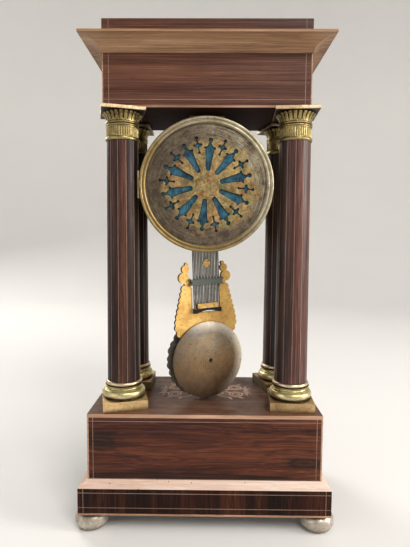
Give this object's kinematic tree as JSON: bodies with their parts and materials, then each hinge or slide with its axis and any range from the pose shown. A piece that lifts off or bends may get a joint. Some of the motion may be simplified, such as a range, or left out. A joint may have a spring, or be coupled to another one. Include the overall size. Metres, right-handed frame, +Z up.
{
  "type": "portico clock",
  "caption": "Four-column portico mantel clock: veneered plinth and entablature, turned capitals, hung drum with hinged doors, geared striking movement and gridiron pendulum.",
  "frame": {"origin": "middle of the footprint, on the plane that the four feet stand on", "axes": "+Z up, -Y out of the dial (front), +Y out of the pierced rear cover that the picture shows, +X to the right as seen from the front"},
  "size_m": [0.2596, 0.135, 0.4965],
  "materials": {
    "rosewood": "polished veneer",
    "pale_wood": "worn satin",
    "light_wood": "polished veneer",
    "dark_wood": "matt",
    "mount_brass": "aged cast brass",
    "steel": "dark polished",
    "case_brass": "tarnished",
    "cloth": "woven",
    "gilt": "gilded",
    "glass": "clear",
    "enamel": "gloss",
    "movement_brass": "polished",
    "blued_steel": "blued",
    "bob_brass": "tarnished"
  },
  "bodies": {
    "case": {"foot_rear_right": "pale_wood", "foot_rear_left": "pale_wood", "foot_front_right": "pale_wood", "foot_front_left": "pale_wood", "lower_plinth": "rosewood", "plinth_moulding": "pale_wood", "upper_plinth": "rosewood", "plinth_top": "rosewood", "column_base_rear_right": "mount_brass", "column_base_rear_left": "mount_brass", "column_base_front_right": "mount_brass", "column_base_front_left": "mount_brass", "column_shaft_rear_right": "rosewood", "column_shaft_rear_left": "rosewood", "column_shaft_front_right": "rosewood", "column_shaft_front_left": "rosewood", "column_capital_rear_right": "mount_brass", "column_capital_rear_left": "mount_brass", "column_capital_front_right": "mount_brass", "column_capital_front_left": "mount_brass", "column_rods": "steel", "soffit": "dark_wood", "frieze": "rosewood", "cornice": "light_wood", "top_cap": "rosewood", "drum_case": "case_brass", "dial": "enamel", "front_plate": "movement_brass", "back_plate": "movement_brass", "plate_pillars": "movement_brass", "back_cock": "movement_brass", "bell_stand": "steel", "bell": "movement_brass"},
    "bezel_door": {"bezel": "gilt", "bezel_glass": "glass"},
    "rear_door": {"rear_door": "case_brass", "rear_fret": "case_brass", "fret_cloth": "cloth"},
    "going_barrel": {"going_barrel": "movement_brass"},
    "going_arbor": {"going_arbor": "steel"},
    "strike_barrel": {"strike_barrel": "movement_brass"},
    "strike_arbor": {"strike_arbor": "steel"},
    "intermediate": {"intermediate_wheel": "movement_brass"},
    "centre": {"centre_wheel": "movement_brass", "cannon_pinion": "movement_brass", "minute_hand": "blued_steel"},
    "third": {"third_wheel": "movement_brass"},
    "escape": {"escape_wheel": "movement_brass"},
    "anchor": {"anchor_crutch": "steel"},
    "minute_wheel": {"minute_wheel": "movement_brass"},
    "hour": {"hour_wheel": "movement_brass", "hour_hand": "blued_steel"},
    "strike_wheel": {"strike_wheel": "movement_brass"},
    "hammer": {"hammer": "steel"},
    "pendulum": {"suspension_spring": "steel", "gridiron_steel": "steel", "gridiron_brass": "movement_brass", "pendulum_plate": "gilt", "pendulum_bob": "bob_brass", "bob_wreath": "gilt"}
  },
  "joints": [
    {"name": "bezel_hinge", "type": "hinge", "parent": "case", "child": "bezel_door", "pos_m": [0.0666, -0.042, 0.3407], "axis": [0, 0, 1], "range_deg": [0, 95]},
    {"name": "rear_door_hinge", "type": "hinge", "parent": "case", "child": "rear_door", "pos_m": [0.0666, 0.0395, 0.3407], "axis": [0, 0, -1], "range_deg": [0, 110]},
    {"name": "centre_turn", "type": "hinge", "parent": "case", "child": "centre", "pos_m": [0, 0, 0.3407], "axis": [0, 1, 0], "continuous": true},
    {"name": "minute_wheel_turn", "type": "hinge", "parent": "case", "child": "minute_wheel", "pos_m": [0.006, 0, 0.35109], "axis": [0, 1, 0], "continuous": true},
    {"name": "hour_turn", "type": "hinge", "parent": "case", "child": "hour", "pos_m": [0, 0, 0.3407], "axis": [0, 1, 0], "continuous": true},
    {"name": "intermediate_turn", "type": "hinge", "parent": "case", "child": "intermediate", "pos_m": [0.01736, 0, 0.35216], "axis": [0, 1, 0], "continuous": true},
    {"name": "going_barrel_turn", "type": "hinge", "parent": "case", "child": "going_barrel", "pos_m": [0.0255, 0, 0.3267], "axis": [0, 1, 0], "continuous": true},
    {"name": "third_turn", "type": "hinge", "parent": "case", "child": "third", "pos_m": [-0.00653, 0, 0.35866], "axis": [0, 1, 0], "continuous": true},
    {"name": "escape_turn", "type": "hinge", "parent": "case", "child": "escape", "pos_m": [0.005, 0, 0.3697], "axis": [0, 1, 0], "continuous": true},
    {"name": "going_winding", "type": "hinge", "parent": "case", "child": "going_arbor", "pos_m": [0.0255, 0, 0.3267], "axis": [0, 1, 0], "continuous": true},
    {"name": "strike_barrel_turn", "type": "hinge", "parent": "case", "child": "strike_barrel", "pos_m": [-0.0255, 0, 0.3267], "axis": [0, 1, 0], "continuous": true},
    {"name": "strike_wheel_turn", "type": "hinge", "parent": "case", "child": "strike_wheel", "pos_m": [-0.03805, 0, 0.3503], "axis": [0, 1, 0], "continuous": true},
    {"name": "strike_winding", "type": "hinge", "parent": "case", "child": "strike_arbor", "pos_m": [-0.0255, 0, 0.3267], "axis": [0, 1, 0], "continuous": true},
    {"name": "hammer_lift", "type": "hinge", "parent": "case", "child": "hammer", "pos_m": [-0.047, 0, 0.3437], "axis": [0, 1, 0], "range_deg": [0, 14]},
    {"name": "pendulum_swing", "type": "hinge", "parent": "case", "child": "pendulum", "pos_m": [0.005, 0.018, 0.3825], "axis": [0, 1, 0], "range_deg": [-5.7, 1.3]},
    {"name": "anchor_rock", "type": "hinge", "parent": "case", "child": "anchor", "pos_m": [0.005, 0, 0.3825], "axis": [0, 1, 0], "range_deg": [-5.7, 1.3]}
  ],
  "couplings": [
    {"joint": "minute_wheel_turn", "follows": "centre_turn", "ratio": -0.33333},
    {"joint": "hour_turn", "follows": "centre_turn", "ratio": 0.083333},
    {"joint": "intermediate_turn", "follows": "centre_turn", "ratio": -0.14286},
    {"joint": "going_barrel_turn", "follows": "centre_turn", "ratio": 0.017857},
    {"joint": "third_turn", "follows": "centre_turn", "ratio": -12},
    {"joint": "escape_turn", "follows": "centre_turn", "ratio": 132},
    {"joint": "strike_wheel_turn", "follows": "strike_barrel_turn", "ratio": -8},
    {"joint": "anchor_rock", "follows": "pendulum_swing", "ratio": 1}
  ]
}
